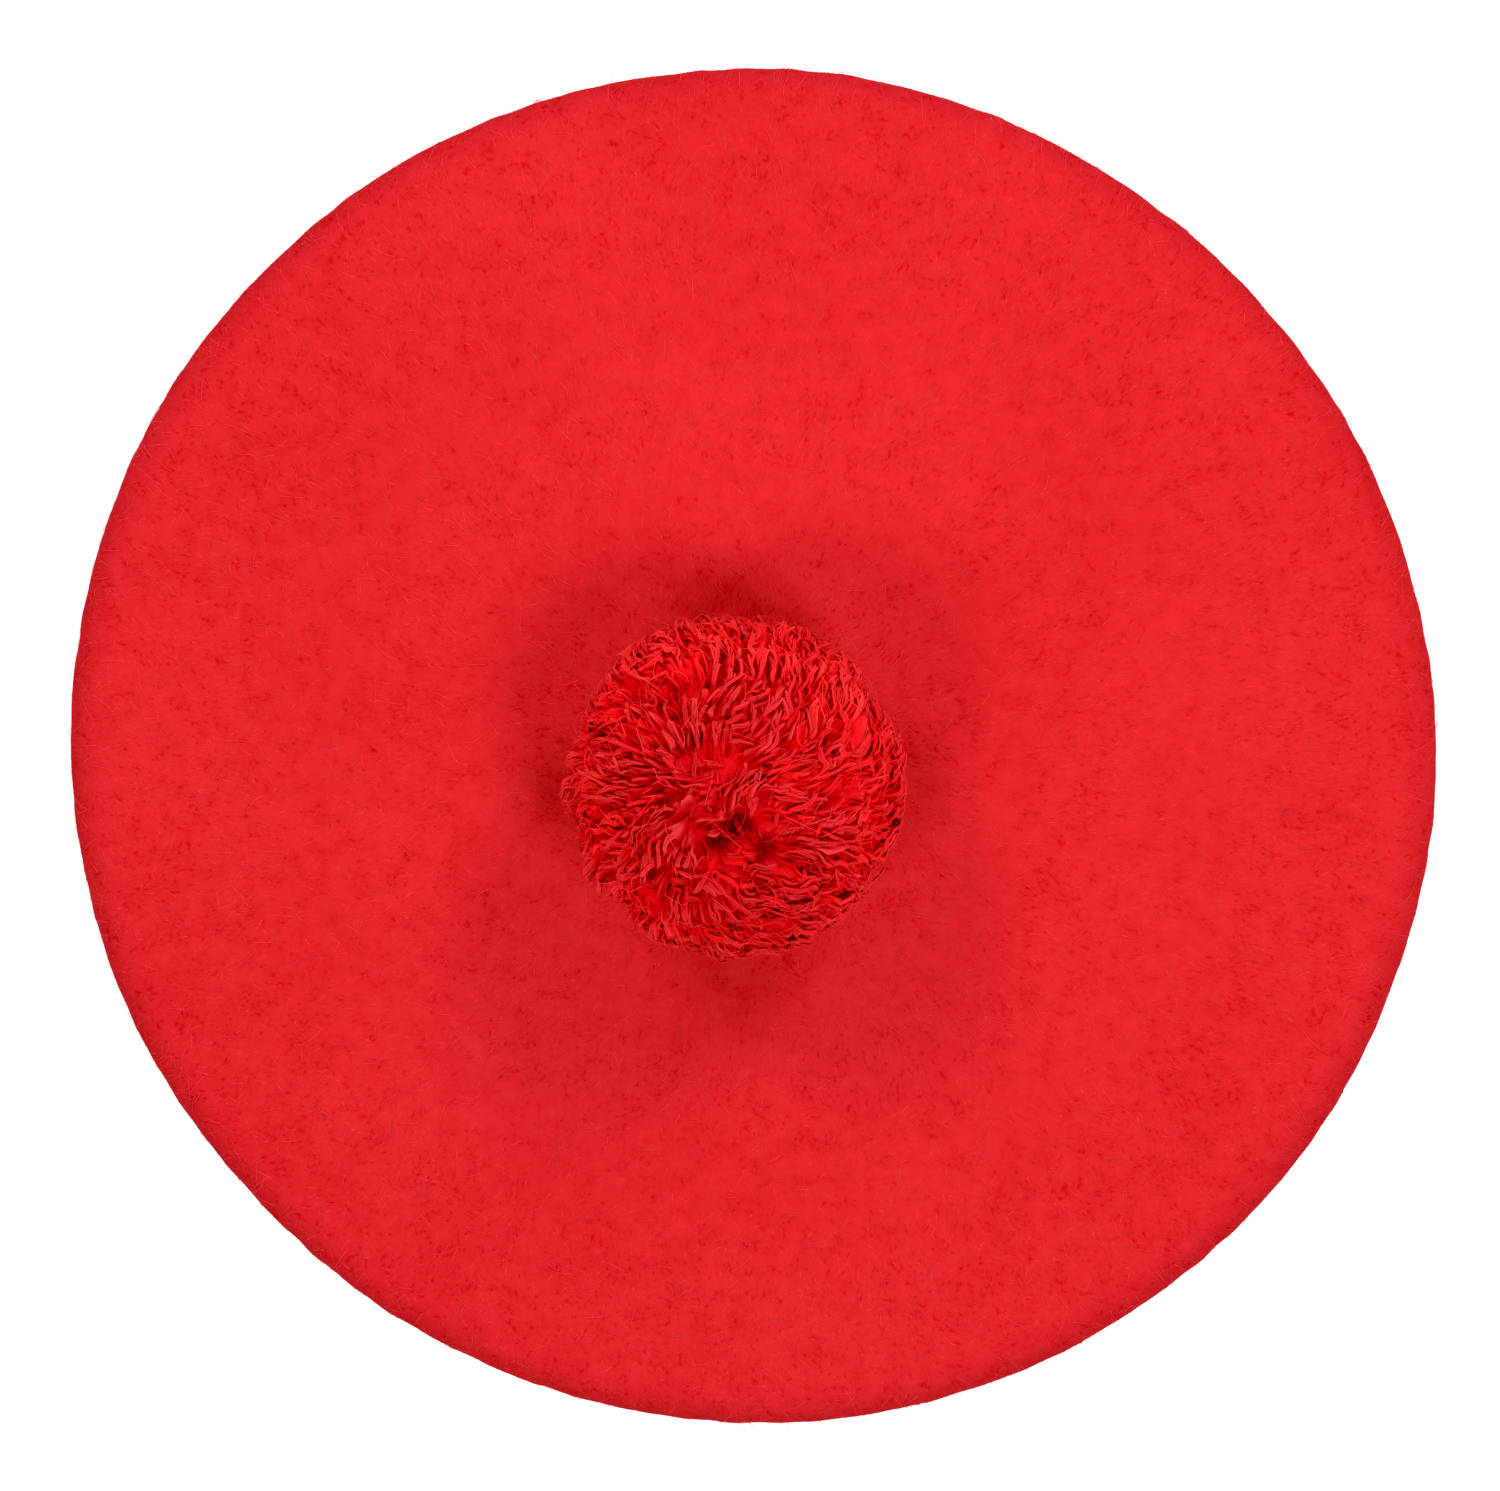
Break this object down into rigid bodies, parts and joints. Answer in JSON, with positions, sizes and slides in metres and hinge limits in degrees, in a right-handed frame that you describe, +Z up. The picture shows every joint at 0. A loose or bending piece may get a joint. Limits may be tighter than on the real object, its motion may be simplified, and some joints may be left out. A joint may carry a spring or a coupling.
{
  "type": "beret",
  "caption": "Round felt beret with a turned-in hem, a ribbon sweatband and a ball pompom of cut yarn tied through the middle of its crown.",
  "frame": {"origin": "middle of the ring that the turned-in hem rests on, at the level of the table", "axes": "+Z up through the crown and the pompom, +Y towards the back of the beret, where the sweatband's ends meet, +X to the side"},
  "size_m": [0.28, 0.28, 0.1079],
  "materials": {
    "wool_felt": "matt fulled wool with a short radial nap",
    "patch_felt": "matt craft felt",
    "pompom_wool": "soft cut wool yarn",
    "tie_yarn": "plied wool yarn",
    "wrap_thread": "waxed buttonhole thread",
    "grosgrain_ribbon": "ribbed grosgrain with a slight sheen",
    "sewing_thread": "polyester sewing thread",
    "button_resin": "polished resin"
  },
  "bodies": {
    "crown": {"felt_body": "wool_felt", "hem_stitches": "sewing_thread", "sweatband": "grosgrain_ribbon", "sweatband_stitches": "sewing_thread", "sweatband_joint_stitches": "sewing_thread", "backing_patch": "patch_felt", "patch_stitches": "sewing_thread", "anchor_button": "button_resin", "anchor_knot": "tie_yarn", "tie_tails": "tie_yarn"},
    "shank_base": {"shank_knot": "tie_yarn"},
    "shank_neck": {"shank_wrap": "wrap_thread"},
    "pompom": {"waist_binding": "tie_yarn", "binding_cords": "tie_yarn", "pompom_yarn": "pompom_wool"}
  },
  "joints": [
    {"name": "pompom_nod", "type": "hinge", "parent": "crown", "child": "shank_base", "pos_m": [0, 0, 0.04285], "axis": [1, 0, 0], "range_deg": [-15, 15], "stiffness_Nm_per_rad": 0.03},
    {"name": "pompom_sway", "type": "hinge", "parent": "shank_base", "child": "shank_neck", "pos_m": [0, 0, 0.04285], "axis": [0, 1, 0], "range_deg": [-15, 15], "stiffness_Nm_per_rad": 0.03},
    {"name": "pompom_twist", "type": "hinge", "parent": "shank_neck", "child": "pompom", "pos_m": [0, 0, 0.04285], "axis": [0, 0, 1], "range_deg": [-40, 40], "stiffness_Nm_per_rad": 0.003}
  ]
}
